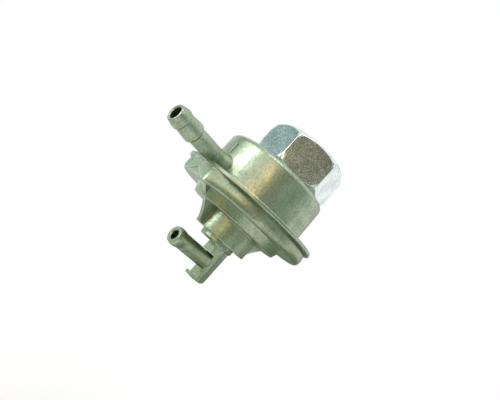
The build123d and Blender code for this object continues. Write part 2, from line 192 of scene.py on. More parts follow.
def tubes(lines: np.ndarray, radius: float, sides: int) -> tuple[np.ndarray, np.ndarray]:
    """Round wires along several lines of points, with their ends drawn to the middle.

    A wire's section is a circle across the line's own direction. It is turned from the
    upright, or from X where the line is steep. The first and last circles shrink to a
    hundredth, which closes the ends.

    Args:
        lines: Points of shape (wires, steps, 3).
        radius: The wire's radius.
        sides: Points round a wire.

    Returns:
        The points and the quads of all wires together.
    """
    steep = 0.9
    closing = 100
    along = np.gradient(lines, axis=1)
    along /= np.linalg.norm(along, axis=2, keepdims=True)
    reference = np.where(np.abs(along[..., 2:]) > steep, (1.0, 0.0, 0.0), (0.0, 0.0, 1.0))
    across = np.cross(along, reference)
    across /= np.linalg.norm(across, axis=2, keepdims=True)
    third = np.cross(across, along)
    angle = np.linspace(0, 2 * np.pi, sides, endpoint=False)
    swell = np.full(lines.shape[1], radius)
    swell[[0, -1]] = radius / closing
    ring = across[:, :, None] * np.cos(angle)[:, None] + third[:, :, None] * np.sin(angle)[:, None]
    points = lines[:, :, None] + ring * swell[:, None, None]
    wires, steps = lines.shape[:2]
    quads = grid_quads(steps, sides, Loop.COLUMNS)
    shift = np.arange(wires)[:, None, None] * steps * sides
    return points.reshape(-1, 3), (quads + shift).reshape(-1, 4)


# Shader groups


class Effect:
    """A shader node group under construction, with a colour, a roughness and a height."""

    mix_first: ClassVar[int] = 6
    mix_second: ClassVar[int] = 7
    mix_result: ClassVar[int] = 2

    def __init__(self, skin: Skin, inputs: dict[str, float | Colour]) -> None:
        """Makes the empty group.

        Args:
            skin: The group, by whose value it is named.
            inputs: Each input's name with its first value, a number or a colour.
        """
        self.tree = bpy.data.node_groups.new(skin.value, "ShaderNodeTree")
        for label, value in inputs.items():
            kind = "NodeSocketFloat" if isinstance(value, float) else "NodeSocketColor"
            socket = self.tree.interface.new_socket(name=label, in_out="INPUT", socket_type=kind)
            socket.default_value = value if isinstance(value, float) else (*value, 1.0)
        for label in ("Color", "Roughness", "Height"):
            kind = "NodeSocketColor" if label == "Color" else "NodeSocketFloat"
            self.tree.interface.new_socket(name=label, in_out="OUTPUT", socket_type=kind)
        self.given = self.tree.nodes.new("NodeGroupInput").outputs
        self.result = self.tree.nodes.new("NodeGroupOutput").inputs

    def link(self, source: Socket, target: Socket) -> None:
        """Joins two sockets."""
        self.tree.links.new(source, target)

    def feed(self, node: bpy.types.Node, index: int | str, value: Value | None) -> None:
        """Sets or links one input of a node.

        Args:
            node: The node.
            index: The input's place or name.
            value: A socket to link, a number to set, or None to leave it as it is.
        """
        if isinstance(value, Socket):
            self.link(value, node.inputs[index])
        elif value is not None:
            node.inputs[index].default_value = value

    def coordinates(self) -> Socket:
        """The object coordinates, in metres."""
        return self.tree.nodes.new("ShaderNodeTexCoord").outputs["Object"]

    def math(self, kind: str, a: Value, b: Value | None = None, clamp: bool = False) -> Socket:
        """Adds a Math node.

        Args:
            kind: Its operation.
            a: Its first value.
            b: Its second value, if it takes one.
            clamp: Whether the result is held between 0 and 1.

        Returns:
            The result.
        """
        node = self.tree.nodes.new("ShaderNodeMath")
        node.operation = kind
        node.use_clamp = clamp
        self.feed(node, 0, a)
        self.feed(node, 1, b)
        return node.outputs[0]

    def weighted(self, *terms: tuple[Socket, float]) -> Socket:
        """Adds up values, each times its weight.

        Args:
            terms: The values with their weights.

        Returns:
            The sum.
        """
        first, *others = [self.math("MULTIPLY", value, weight) for value, weight in terms]
        for other in others:
            first = self.math("ADD", first, other)
        return first

    def noise(self, vector: Socket, scale: Value, detail: float = 3.0, roughness: float = 0.5) -> Socket:
        """Adds a noise.

        Args:
            vector: The coordinates that it reads.
            scale: Its scale.
            detail: How many finer layers it has.
            roughness: How strong the finer layers are.

        Returns:
            Its value.
        """
        node = self.tree.nodes.new("ShaderNodeTexNoise")
        self.link(vector, node.inputs["Vector"])
        self.feed(node, "Scale", scale)
        node.inputs["Detail"].default_value = detail
        node.inputs["Roughness"].default_value = roughness
        return node.outputs["Fac"]

    def stretch(self, vector: Socket, scale: Triple, shift: Triple = (0.0, 0.0, 0.0)) -> Socket:
        """Scales coordinates along each axis and then moves them.

        Args:
            vector: The coordinates.
            scale: The scale along X, Y and Z.
            shift: The move along X, Y and Z.

        Returns:
            The new coordinates.
        """
        node = self.tree.nodes.new("ShaderNodeMapping")
        node.vector_type = "POINT"
        self.link(vector, node.inputs["Vector"])
        node.inputs["Location"].default_value = shift
        node.inputs["Scale"].default_value = scale
        return node.outputs["Vector"]

    def ramp(self, value: Socket, low: float, high: float) -> Socket:
        """Spreads a value along an S-curve.

        Args:
            value: The value.
            low: What gives 0.
            high: What gives 1.

        Returns:
            The spread value.
        """
        node = self.tree.nodes.new("ShaderNodeMapRange")
        node.interpolation_type = "SMOOTHSTEP"
        self.link(value, node.inputs["Value"])
        node.inputs["From Min"].default_value = low
        node.inputs["From Max"].default_value = high
        return node.outputs["Result"]

    def mix(self, share: Socket, a: Socket, b: Socket) -> Socket:
        """Blends two colours.

        Args:
            share: How much of the second colour shows.
            a: The first colour.
            b: The second colour.

        Returns:
            The blend.
        """
        node = self.tree.nodes.new("ShaderNodeMix")
        node.data_type = "RGBA"
        self.link(share, node.inputs[0])
        self.link(a, node.inputs[self.mix_first])
        self.link(b, node.inputs[self.mix_second])
        return node.outputs[self.mix_result]

    def parts(self, vector: Socket) -> bpy.types.bpy_prop_collection:
        """Splits a vector.

        Args:
            vector: The vector.

        Returns:
            Its X, Y and Z by name.
        """
        node = self.tree.nodes.new("ShaderNodeSeparateXYZ")
        self.link(vector, node.inputs[0])
        return node.outputs

    def edge_mask(self, radius: Socket) -> Socket:
        """Finds edges by how far a rounded normal leaves the true one.

        Args:
            radius: The rounding's radius.

        Returns:
            1 on an edge, 0 on a flat.
        """
        rounded = self.tree.nodes.new("ShaderNodeBevel")
        rounded.samples = 4
        self.link(radius, rounded.inputs["Radius"])
        true_normal = self.tree.nodes.new("ShaderNodeNewGeometry").outputs["Normal"]
        likeness = self.tree.nodes.new("ShaderNodeVectorMath")
        likeness.operation = "DOT_PRODUCT"
        self.link(rounded.outputs["Normal"], likeness.inputs[0])
        self.link(true_normal, likeness.inputs[1])
        return self.ramp(likeness.outputs["Value"], low=0.995, high=0.85)

    def finish(self, colour: Socket, roughness: Socket, height: Socket) -> bpy.types.NodeTree:
        """Joins the group's outputs.

        Args:
            colour: The surface's colour.
            roughness: Its roughness.
            height: Its height for a bump.

        Returns:
            The finished group.
        """
        self.link(colour, self.result["Color"])
        self.link(roughness, self.result["Roughness"])
        self.link(height, self.result["Height"])
        return self.tree


def cast_skin() -> bpy.types.NodeTree:
    """Makes a zinc casting's skin: tone clouds, fine grain, tarnish spots and pale edges, which are
    partly wear from rubbing and partly a painted highlight.

    Returns:
        The group.
    """
    e = Effect(Skin.CAST, {
        "Base": (0.4, 0.44, 0.38), "Shade": (0.3, 0.34, 0.27), "Tarnish": (0.44, 0.46, 0.27),
        "Rubbed Edge And Highlight": (0.7, 0.72, 0.66), "Tarnish Share": 0.4, "Least Roughness": 0.27,
        "Cloud Scale": 260.0, "Flow Scale": 900.0, "Grain Scale": 1900.0, "Tarnish Scale": 2300.0,
        "Edge Radius": 0.0004})
    where = e.coordinates()
    beside = e.stretch(where, scale=(1.0, 1.0, 1.0), shift=(0.1, 0.2, 0.3))
    cloud = e.ramp(e.noise(where, e.given["Cloud Scale"], detail=4.0, roughness=0.6), low=0.35, high=0.68)
    grain = e.noise(where, e.given["Grain Scale"], detail=2.0, roughness=0.6)
    flow = e.noise(e.stretch(where, scale=(1.0, 1.0, 0.35)), e.given["Flow Scale"])
    share = e.weighted((cloud, 0.5), (e.ramp(grain, low=0.42, high=0.58), 0.5))
    tone = e.mix(share, e.given["Base"], e.given["Shade"])
    spots = e.ramp(e.noise(beside, e.given["Tarnish Scale"], detail=2.0), low=0.46, high=0.66)
    tone = e.mix(e.math("MULTIPLY", spots, e.given["Tarnish Share"]), tone, e.given["Tarnish"])
    # Pale edges: partly wear from rubbing, partly a painted highlight line along the edges.
    worn_and_highlit = e.ramp(flow, low=0.3, high=0.6)
    edge = e.math("MULTIPLY", e.edge_mask(e.given["Edge Radius"]), worn_and_highlit, clamp=True)
    rough = e.math("ADD", e.weighted((cloud, 0.1), (grain, 0.12)), e.given["Least Roughness"])
    return e.finish(e.mix(edge, tone, e.given["Rubbed Edge And Highlight"]), rough, e.weighted((grain, 0.5), (flow, 1.0)))


def plated_bar() -> bpy.types.NodeTree:
    """Makes bright plating over rolled bar: a pebbled skin with bright and dark specks.

    Returns:
        The group.
    """
    e = Effect(Skin.PLATED, {
        "Base": (0.6, 0.62, 0.6), "Dark": (0.3, 0.32, 0.3), "Bright": (0.85, 0.87, 0.85),
        "Pit Share": 0.7, "Cloud Share": 0.5, "Least Roughness": 0.14,
        "Speck Scale": 1900.0, "Cloud Scale": 240.0})
    where = e.coordinates()
    speck = e.noise(where, e.given["Speck Scale"], detail=2.0, roughness=0.65)
    cloud = e.noise(where, e.given["Cloud Scale"])
    pits = e.math("MULTIPLY", e.ramp(speck, low=0.5, high=0.3), e.given["Pit Share"])
    tone = e.mix(pits, e.given["Base"], e.given["Dark"])
    clouds = e.math("MULTIPLY", e.ramp(cloud, low=0.4, high=0.7), e.given["Cloud Share"])
    tone = e.mix(clouds, tone, e.given["Dark"])
    tone = e.mix(e.ramp(speck, low=0.58, high=0.72), tone, e.given["Bright"])
    rough = e.math("ADD", e.math("MULTIPLY", speck, 0.2), e.given["Least Roughness"])
    return e.finish(tone, rough, e.weighted((speck, 1.0), (cloud, 1.5)))


def turned_rings() -> bpy.types.NodeTree:
    """Makes fine tool rings: a sine of the distance to an upright axis plus the height.

    Returns:
        The group.
    """
    e = Effect(Skin.TURNED, {
        "Base": (0.6, 0.6, 0.6), "Shade": (0.4, 0.4, 0.4), "Axis Y": 0.0, "Ring Scale": 42000.0,
        "Stain Scale": 420.0, "Least Roughness": 0.2})
    where = e.coordinates()
    axes = e.parts(where)
    beside = e.math("SUBTRACT", axes["Y"], e.given["Axis Y"])
    squares = e.math("ADD", e.math("MULTIPLY", axes["X"], axes["X"]), e.math("MULTIPLY", beside, beside))
    reach = e.math("ADD", e.math("SQRT", squares), axes["Z"])
    rings = e.math("SINE", e.math("MULTIPLY", reach, e.given["Ring Scale"]))
    stain = e.ramp(e.noise(where, e.given["Stain Scale"]), low=0.4, high=0.75)
    rough = e.math("ADD", e.math("MULTIPLY", stain, 0.15), e.given["Least Roughness"])
    return e.finish(e.mix(stain, e.given["Base"], e.given["Shade"]), rough, rings)


def fine_grain() -> bpy.types.NodeTree:
    """Makes the even grain of moulded or pressed stuff, under a faint dust.

    Returns:
        The group.
    """
    e = Effect(Skin.GRAIN, {
        "Base": (0.1, 0.1, 0.1), "Shade": (0.05, 0.05, 0.05), "Grain Scale": 3000.0,
        "Dust Scale": 380.0, "Roughness": 0.5})
    where = e.coordinates()
    grain = e.noise(where, e.given["Grain Scale"], roughness=0.6)
    dust = e.ramp(e.noise(where, e.given["Dust Scale"], detail=4.0), low=0.42, high=0.75)
    spread = e.math("MULTIPLY", e.math("SUBTRACT", grain, 0.5), 0.25)
    rough = e.math("ADD", e.given["Roughness"], spread, clamp=True)
    return e.finish(e.mix(dust, e.given["Base"], e.given["Shade"]), rough, grain)


def cloth_print() -> bpy.types.NodeTree:
    """Makes a square weave that shows through thin rubber: one sine along X times one along Y.

    Returns:
        The group.
    """
    e = Effect(Skin.CLOTH, {
        "Base": (0.05, 0.05, 0.05), "Shade": (0.1, 0.1, 0.1), "Thread Scale": 14000.0,
        "Roughness": 0.5})
    axes = e.parts(e.coordinates())
    warp = e.math("SINE", e.math("MULTIPLY", axes["X"], e.given["Thread Scale"]))
    weft = e.math("SINE", e.math("MULTIPLY", axes["Y"], e.given["Thread Scale"]))
    weave = e.math("MULTIPLY", warp, weft)
    tone = e.mix(e.ramp(weave, low=-0.6, high=0.8), e.given["Base"], e.given["Shade"])
    rough = e.math("ADD", e.math("MULTIPLY", weave, 0.06), e.given["Roughness"])
    return e.finish(tone, rough, weave)


@dataclass(frozen=True)
class Finish:
    """One material: a shader group's effect on a Principled surface."""

    name: str
    skin: Skin
    settings: dict[str, float | Colour]
    bump_mm: float
    bump_strength: float = 0.5
    metallic: float = 0.0

    groups: ClassVar[dict[Skin, bpy.types.NodeTree]] = {}
    makers: ClassVar[dict[Skin, Callable[[], bpy.types.NodeTree]]] = {
        Skin.CAST: cast_skin,
        Skin.PLATED: plated_bar,
        Skin.TURNED: turned_rings,
        Skin.GRAIN: fine_grain,
        Skin.CLOTH: cloth_print,
    }

    def group(self) -> bpy.types.NodeTree:
        """Makes the skin's group at its first use.

        Returns:
            The group.
        """
        if self.skin not in self.groups:
            self.groups[self.skin] = self.makers[self.skin]()
        return self.groups[self.skin]

    def material(self) -> bpy.types.Material:
        """Builds the material.

        Returns:
            A material whose colour, roughness and bump come from the group.
        """
        made = bpy.data.materials.new(self.name)
        made.use_nodes = True
        tree = made.node_tree
        surface = tree.nodes["Principled BSDF"]
        surface.inputs["Metallic"].default_value = self.metallic
        skin = tree.nodes.new("ShaderNodeGroup")
        skin.node_tree = self.group()
        for label, value in self.settings.items():
            skin.inputs[label].default_value = value if isinstance(value, float) else (*value, 1.0)
        bump = tree.nodes.new("ShaderNodeBump")
        bump.inputs["Strength"].default_value = self.bump_strength
        bump.inputs["Distance"].default_value = self.bump_mm * MM
        tree.links.new(skin.outputs["Color"], surface.inputs["Base Color"])
        tree.links.new(skin.outputs["Roughness"], surface.inputs["Roughness"])
        tree.links.new(skin.outputs["Height"], bump.inputs["Height"])
        tree.links.new(bump.outputs["Normal"], surface.inputs["Normal"])
        return made


# The pale edge colours of both castings are partly wear from rubbing and partly painted highlight.
CAST_BODY = Finish(
    "cast_body_zinc", Skin.CAST,
    {"Base": (0.44, 0.52, 0.39), "Shade": (0.25, 0.33, 0.24), "Rubbed Edge And Highlight": (0.9, 0.93, 0.86)},
    metallic=1.0, bump_mm=0.05, bump_strength=0.8)
# The cover's tones, darker than the body's, are painted shade for its lower parts under the rim.
CAST_COVER = Finish(
    "cast_cover_zinc_painted_shade", Skin.CAST,
    {"Base": (0.4, 0.48, 0.34), "Shade": (0.22, 0.29, 0.2), "Rubbed Edge And Highlight": (0.88, 0.91, 0.84)},
    metallic=1.0, bump_mm=0.05, bump_strength=0.8)
PLATED_NUT = Finish(
    "plated_steel", Skin.PLATED,
    {"Base": (0.86, 0.95, 0.94), "Dark": (0.46, 0.52, 0.5), "Bright": (1.0, 1.0, 1.0)},
    metallic=1.0, bump_mm=0.035, bump_strength=0.8)
BRASS = Finish(
    "turned_brass", Skin.TURNED,
    {"Base": (0.78, 0.62, 0.33), "Shade": (0.56, 0.42, 0.2), "Axis Y": 0.0},
    metallic=1.0, bump_mm=0.002)
VALVE_BRASS = Finish(
    "turned_brass_valve", Skin.TURNED,
    {"Base": (0.78, 0.62, 0.33), "Shade": (0.56, 0.42, 0.2), "Axis Y": CASTING_AXIS_Y * MM},
    metallic=1.0, bump_mm=0.002)
RIVET = Finish(
    "turned_aluminium", Skin.TURNED,
    {"Base": (0.78, 0.78, 0.77), "Shade": (0.6, 0.6, 0.6), "Axis Y": CASTING_AXIS_Y * MM},
    metallic=1.0, bump_mm=0.002)
PLATE = Finish(
    "stamped_steel", Skin.PLATED,
    {"Base": (0.6, 0.6, 0.58), "Dark": (0.42, 0.42, 0.38), "Bright": (0.78, 0.78, 0.74),
     "Speck Scale": 5200.0},
    metallic=1.0, bump_mm=0.003)
SPRING = Finish(
    "spring_wire", Skin.GRAIN,
    {"Base": (0.42, 0.42, 0.4), "Shade": (0.28, 0.27, 0.25), "Grain Scale": 5000.0, "Roughness": 0.3},
    metallic=1.0, bump_mm=0.004)
RUBBER = Finish(
    "nitrile_rubber", Skin.GRAIN,
    {"Base": (0.025, 0.025, 0.027), "Shade": (0.05, 0.05, 0.05), "Roughness": 0.48},
    bump_mm=0.006)
FIBRE = Finish(
    "red_fibre", Skin.GRAIN,
    {"Base": (0.3, 0.075, 0.05), "Shade": (0.18, 0.05, 0.035), "Grain Scale": 2600.0, "Roughness": 0.75},
    bump_mm=0.02)
NYLON = Finish(
    "natural_nylon", Skin.GRAIN,
    {"Base": (0.82, 0.8, 0.7), "Shade": (0.74, 0.7, 0.58), "Grain Scale": 2200.0, "Roughness": 0.42},
    bump_mm=0.004)
GAUZE = Finish(
    "gauze_wire", Skin.GRAIN,
    {"Base": (0.68, 0.55, 0.3), "Shade": (0.5, 0.38, 0.2), "Grain Scale": 6000.0, "Roughness": 0.32},
    metallic=1.0, bump_mm=0.002)
DIAPHRAGM = Finish(
    "proofed_cloth", Skin.CLOTH,
    {"Base": (0.045, 0.045, 0.045), "Shade": (0.075, 0.075, 0.072)},
    bump_mm=0.02)


# Pieces


@dataclass
class UnionNut:
    """Hexagon nut with chamfered ends, a cut thread, a relief and an inner lip."""

    across_flats: float = 22.0
    turn_deg: float = -6.7
    end_r: float = 10.3
    end_slope_deg: float = 37.0
    end_edge: float = 0.1
    bore_r: float = 5.7
    lip_height: float = 2.3
    relief_r: float = 8.15
    thread_r: float = 7.19
    thread_length: float = 5.0
    thread_root_r: float = 8.0
    thread_pitch: float = 1.5
    crest_share: float = 0.22
    flank_share: float = 0.66
    mouth_growth: float = 0.9
    mouth_edge: float = 0.1
    face_step: float = 0.05
    inner_edge: float = 0.15
    lip_edge: float = 0.12
    corner_sharpness: float = 280.0
    columns_a_face: int = 48
    column_bunching: float = 0.75
    end_band: float = 1.5
    end_rows: int = 16
    middle_rows: int = 8
    thread_rows: int = 66

    def angles(self) -> np.ndarray:
        """Works out the column angles, bunched towards the corners by a sine added to even steps.

        Returns:
            The angles round the axis.
        """
        step = np.linspace(-1, 1, self.columns_a_face, endpoint=False)
        bunched = step + self.column_bunching * np.sin(np.pi * step) / np.pi
        face = np.arange(6)[:, None] * (np.pi / 3)
        return (face + bunched * np.pi / 6 + math.radians(self.turn_deg) + np.pi / 6).ravel()

    def hexagon(self, angle: np.ndarray) -> np.ndarray:
        """Works out the rounded hexagon: a high power mean of the six faces' distances.

        Args:
            angle: The angles round the axis.

        Returns:
            Its distance from the axis at each angle.
        """
        face = np.arange(6) * (np.pi / 3) + math.radians(self.turn_deg) + np.pi / 6
        lean = np.clip(np.cos(angle[:, None] - face), 0, None)
        power = self.corner_sharpness
        return self.across_flats / 2 * (lean ** power).sum(1) ** (-1 / power)

    def thread(self, angle: np.ndarray, height: np.ndarray) -> np.ndarray:
        """Works out the thread's groove: a flat-topped triangle wave along the helix.

        Args:
            angle: The angles round the axis.
            height: The rows' heights.

        Returns:
            Its radius, one row for each height.
        """
        phase = (height[:, None] / self.thread_pitch - angle / (2 * np.pi)) % 1.0
        wave = 1 - np.abs(2 * phase - 1)
        groove = np.clip((wave - self.crest_share) / self.flank_share, 0, 1)
        return self.thread_r + (self.thread_root_r - self.thread_r) * groove

    def build(self) -> bpy.types.Object:
        """Builds the nut as one closed loop of rows carried round the axis.

        The outer rows take the smaller of the hexagon and the two end cones, softened
        by the same power mean. The inner rows take the larger of the thread and the
        mouth's cone.

        Returns:
            The nut's object.
        """
        low, high = (corner.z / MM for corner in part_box("union_nut"))
        slope = math.tan(math.radians(self.end_slope_deg))
        angle = self.angles()
        outer_z = np.concatenate([
            np.linspace(low + self.end_edge, low + self.end_band, self.end_rows, endpoint=False),
            np.linspace(low + self.end_band, high - self.end_band, self.middle_rows, endpoint=False),
            np.linspace(high - self.end_band, high - self.end_edge, self.end_rows)])
        depth = np.minimum(outer_z - low, high - outer_z)
        cone = self.end_r + depth / slope
        power = self.corner_sharpness
        outer = (self.hexagon(angle) ** -power + cone[:, None] ** -power) ** (-1 / power)
        mouth_r = self.thread_r + self.mouth_growth
        thread_low = -self.thread_length / 2
        inner_z = np.linspace(high, thread_low, self.thread_rows)
        mouth = mouth_r + inner_z - high
        inner = np.maximum(self.thread(angle, inner_z), mouth[:, None])
        lip_top = low + self.lip_height
        plain_r, plain_z = np.array([
            (self.relief_r, thread_low),
            (self.relief_r, lip_top + self.inner_edge),
            (self.relief_r - self.inner_edge, lip_top),
            (self.bore_r + self.lip_edge, lip_top),
            (self.bore_r, lip_top - self.lip_edge),
            (self.bore_r, low + self.inner_edge),
            (self.bore_r + self.inner_edge, low)]).T
        face_r = self.end_r - self.face_step
        round_columns = np.ones(len(angle))
        radius = np.concatenate([
            outer,
            np.array([face_r, mouth_r + self.mouth_edge])[:, None] * round_columns,
            inner,
            plain_r[:, None] * round_columns,
            np.array([face_r])[:, None] * round_columns])
        height = np.concatenate([outer_z, [high, high], inner_z, plain_z, [low]])
        points = polar(radius, angle, height[:, None])
        quads = grid_quads(len(height), len(angle), Loop.BOTH)
        return make_piece("hexagon_union_nut", points.reshape(-1, 3), quads)

    def place(self) -> None:
        """Builds, dresses and mounts the nut."""
        nut = self.build()
        nut.data.materials.append(PLATED_NUT.material())
        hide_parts("union_nut")
        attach(nut, "nut")


@dataclass
class ReturnSpring:
    """Round-wire spring whose end coils lie closed against their seats."""

    wire_r: float = 0.35
    coil_r: float = 4.3
    turns: float = 5.0
    closed_share: float = 0.16
    end_slowing: float = 2.2
    smoothing_steps: int = 21
    steps_a_turn: int = 40
    sides: int = 14
    stroke: float = 1.5

    def build(self) -> bpy.types.Object:
        """Builds the coil.

        Its height follows the turn angle, slower at both ends, and is smoothed by a
        running mean whose weights are a raised cosine.

        Returns:
            The spring's object.
        """
        low, high = (corner.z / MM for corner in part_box("return_spring"))
        share = np.linspace(0, 1, int(self.turns * self.steps_a_turn) + 1)
        closed = self.closed_share
        slow = closed / self.end_slowing
        rise = np.interp(share, [0, closed, 1 - closed, 1], [0, slow, 1 - slow, 1])
        kernel = np.hanning(self.smoothing_steps)
        padded = np.pad(rise, self.smoothing_steps // 2, mode="edge")
        rise = np.convolve(padded, kernel / kernel.sum(), mode="valid")
        angle = share * self.turns * 2 * np.pi
        height = low + self.wire_r + rise * (high - low - 2 * self.wire_r)
        line = polar(self.coil_r, angle, height, CASTING_AXIS_Y)
        points, quads = tubes(line[None], self.wire_r, self.sides)
        return make_piece("coil_spring", points, quads, smooth_deg=60.0)

    def place(self) -> None:
        """Builds, dresses and mounts the spring, on a mesh of its own."""
        spring = self.build()
        spring.data.materials.append(SPRING.material())
        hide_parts("return_spring")
        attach(spring, "housing")
        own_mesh(spring)


@dataclass
class Diaphragm:
    """Rubber disc in two plies and a clamping bead, its middle raised on a soft S-bend.

    The upper ply shows the rubber's top and the lower ply its back. Each flattens towards
    its own level at the clamped rim.
    """

    thickness: float = 0.7
    parting: float = 0.01
    rise: float = 1.6
    stroke: float = 1.5
    hole_r: float = 1.4
    bend_from_r: float = 8.9
    bend_to_r: float = 13.5
    rim_r: float = 16.4
    bead_r: float = 0.6
    bead_circle_r: float = 15.6
    bead_sides: int = 24
    rows: int = 48
    columns: int = 120

    def lift(self, radius: np.ndarray) -> np.ndarray:
        """Height over the rim: the rise times 3t^2 - 2t^3, t being 0 outside the bend and 1 inside."""
        t = np.clip((self.bend_to_r - radius) / (self.bend_to_r - self.bend_from_r), 0, 1)
        return self.rise * t * t * (3 - 2 * t)

    def ply(self, name: str, top: float, bottom: float) -> bpy.types.Object:
        """Builds one ply as a closed profile carried round the valve's axis.

        Args:
            name: The ply's name.
            top: Height of its upper face at the rim.
            bottom: Height of its lower face at the rim.

        Returns:
            The ply's object.
        """
        out = np.linspace(self.hole_r, self.rim_r, self.rows)
        radius = np.concatenate([out, out[::-1]])
        height = np.concatenate([top + self.lift(out), bottom + self.lift(out[::-1])])
        return self.carried_round(name, radius, height)

    def carried_round(self, name: str, radius: np.ndarray, height: np.ndarray) -> bpy.types.Object:
        """Carries a closed profile round the valve's axis.

        Args:
            name: The piece's name.
            radius: The profile's radii.
            height: Its heights.

        Returns:
            The piece.
        """
        angle = np.linspace(0, 2 * np.pi, self.columns, endpoint=False)
        points = polar(radius[:, None], angle, height[:, None], CASTING_AXIS_Y)
        quads = grid_quads(len(radius), self.columns, Loop.BOTH)
        return make_piece(name, points.reshape(-1, 3), quads, smooth_deg=50.0)

    def place(self) -> None:
        """Builds, dresses and mounts both plies and the bead."""
        rim_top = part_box("diaphragm")[1].z / MM - self.rise
        rim_bottom = rim_top - self.thickness
        middle = (rim_top + rim_bottom) / 2
        upper = self.ply("diaphragm_face", rim_top, middle + self.parting)
        lower = self.ply("diaphragm_back", middle - self.parting, rim_bottom)
        turn = np.linspace(0, 2 * np.pi, self.bead_sides, endpoint=False)
        bead = self.carried_round("diaphragm_bead", self.bead_circle_r + self.bead_r * np.cos(turn),
                                  rim_bottom + self.bead_r * np.sin(turn))
        rubber = DIAPHRAGM.material()
        for piece in (upper, lower, bead):
            piece.data.materials.append(rubber)
            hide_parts("diaphragm")
            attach(piece, "housing")
        for piece, level in ((upper, rim_top), (lower, rim_bottom)):
            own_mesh(piece)


@dataclass
class LugCorner:
    """Flush corner of the cover's rim beside the flat lug, over the slot that the lug sits in."""

    side: Side
    seam_top_x: float = 0.85
    seam_middle_x: float = -0.1
    seam_foot_x: float = 4.0
    seam_middle_share: float = 0.65
    lug_half_width: float = 5.2
    lug_y: float = -24.8
    rim_r: float = 20.7
    rim_barrel: float = 0.5
    rim_edge_r: float = 1.1
    rim_height: float = 3.9
    rim_bottom: float = -25.1
    foot_gap: float = 0.02
    top_gap: float = 0.01
    proud: float = 0.12
    sink: float = 0.06
    corner_sharpness: float = 9.0
    thickness: float = 1.6
    rows: int = 28
    columns: int = 56

    def rim(self, height: np.ndarray) -> np.ndarray:
        """Works out the rim: a shallow parabola, less a quarter round at its lower edge.

        Args:
            height: The rows' heights.

        Returns:
            Its radius at each height.
        """
        share = (height - self.rim_bottom) / self.rim_height
        short = np.clip(self.rim_edge_r - (height - self.rim_bottom), 0, self.rim_edge_r)
        rounding = self.rim_edge_r - np.sqrt(self.rim_edge_r ** 2 - short ** 2)
        return self.rim_r - self.rim_barrel * (2 * share - 1) ** 2 - rounding

    def build(self) -> bpy.types.Object:
        """Builds the corner between the seam and the plain rim.

        The outer face is the lug's plane and, from the lug's corner on, the plane that
        touches the rim's barrel, joined by a soft maximum. It dips under the barrel at its
        end. The seam is a parabola through three points. The inner face is the outer one
        moved inwards.

        Returns:
            The corner's object.
        """
        rim_top = self.rim_bottom + self.rim_height
        height = np.linspace(self.rim_bottom + self.foot_gap, rim_top - self.top_gap, self.rows)
        share = (height - height[0]) / (height[-1] - height[0])
        middle = self.seam_middle_share
        seam = (self.seam_foot_x * (1 - share) * (middle - share) / middle
                + self.seam_middle_x * share * (1 - share) / (middle * (1 - middle))
                + self.seam_top_x * share * (share - middle) / (1 - middle))
        front = self.lug_y - self.proud
        corner_r = math.hypot(self.lug_half_width, front - CASTING_AXIS_Y)
        rim = self.rim(height)[:, None]
        touch = math.atan2(self.lug_half_width, CASTING_AXIS_Y - front) + np.arccos(rim / corner_r)
        reach = rim * np.sin(touch)
        across = np.linspace(0, 1, self.columns)
        x = seam[:, None] + across * (reach - seam[:, None])
        slant = CASTING_AXIS_Y - (rim - x * np.sin(touch)) / np.cos(touch)
        k = self.corner_sharpness
        outer = np.logaddexp(k * front, k * slant) / k + self.sink * across ** 4
        inner = outer + self.thickness
        middle_y = (outer + inner) / 2
        rows_y = np.concatenate([outer, inner[:, ::-1]], 1)
        ends_y = np.concatenate([middle_y, middle_y[:, ::-1]], 1)
        rows_x = np.concatenate([x, x[:, ::-1]], 1)
        y = np.concatenate([ends_y[:1], rows_y, ends_y[-1:]])
        flat_x = np.concatenate([rows_x[:1], rows_x, rows_x[-1:]])
        z = np.concatenate([height[:1], height, height[-1:]])[:, None]
        points = np.stack([self.side.value * flat_x, y, np.broadcast_to(z, flat_x.shape)], -1)
        quads = grid_quads(len(z), 2 * self.columns, Loop.COLUMNS)
        return make_piece(f"rim_corner_{self.side.name.lower()}", points.reshape(-1, 3), quads)

    def place(self) -> None:
        """Builds the corner, dresses it in the body's finish, whose tone it shows, and mounts it."""
        corner = self.build()
        corner.data.materials.append(CAST_BODY.material())
        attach(corner, "housing")


@dataclass
class StrainerGauze:
    """Tube of plain-woven wire."""

    wire_r: float = 0.045
    uprights: int = 40
    hoops: int = 20
    steps_a_crossing: int = 4
    sides: int = 5

    def build(self) -> bpy.types.Object:
        """Builds the weave: each wire swings out and in by its own radius at the crossings.

        Returns:
            The gauze's object.
        """
        low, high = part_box("strainer_gauze")
        middle_r = high.x / MM - 2 * self.wire_r
        low_z, high_z = low.z / MM + self.wire_r, high.z / MM - self.wire_r
        climb = np.linspace(0, 1, self.hoops * self.steps_a_crossing + 1)
        turn = np.linspace(0, 1, self.uprights * self.steps_a_crossing + 1)
        upright = np.arange(self.uprights)[:, None]
        hoop = np.arange(self.hoops)[:, None]
        upright_swing = self.wire_r * np.cos(np.pi * (climb * self.hoops + upright))
        uprights = polar(middle_r + upright_swing, upright / self.uprights * 2 * np.pi,
                         low_z + climb * (high_z - low_z))
        hoop_swing = -self.wire_r * np.cos(np.pi * (turn * self.uprights + hoop))
        hoops = polar(middle_r + hoop_swing, turn * 2 * np.pi,
                      low_z + hoop / self.hoops * (high_z - low_z))
        points_a, quads_a = tubes(uprights, self.wire_r, self.sides)
        points_b, quads_b = tubes(hoops, self.wire_r, self.sides)
        points = np.concatenate([points_a, points_b])
        quads = np.concatenate([quads_a, quads_b + len(points_a)])
        return make_piece("woven_gauze", points, quads, smooth_deg=80.0)

    def place(self) -> None:
        """Builds, dresses and mounts the gauze."""
        gauze = self.build()
        gauze.data.materials.append(GAUZE.material())
        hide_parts("strainer_gauze")
        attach(gauze, "housing")


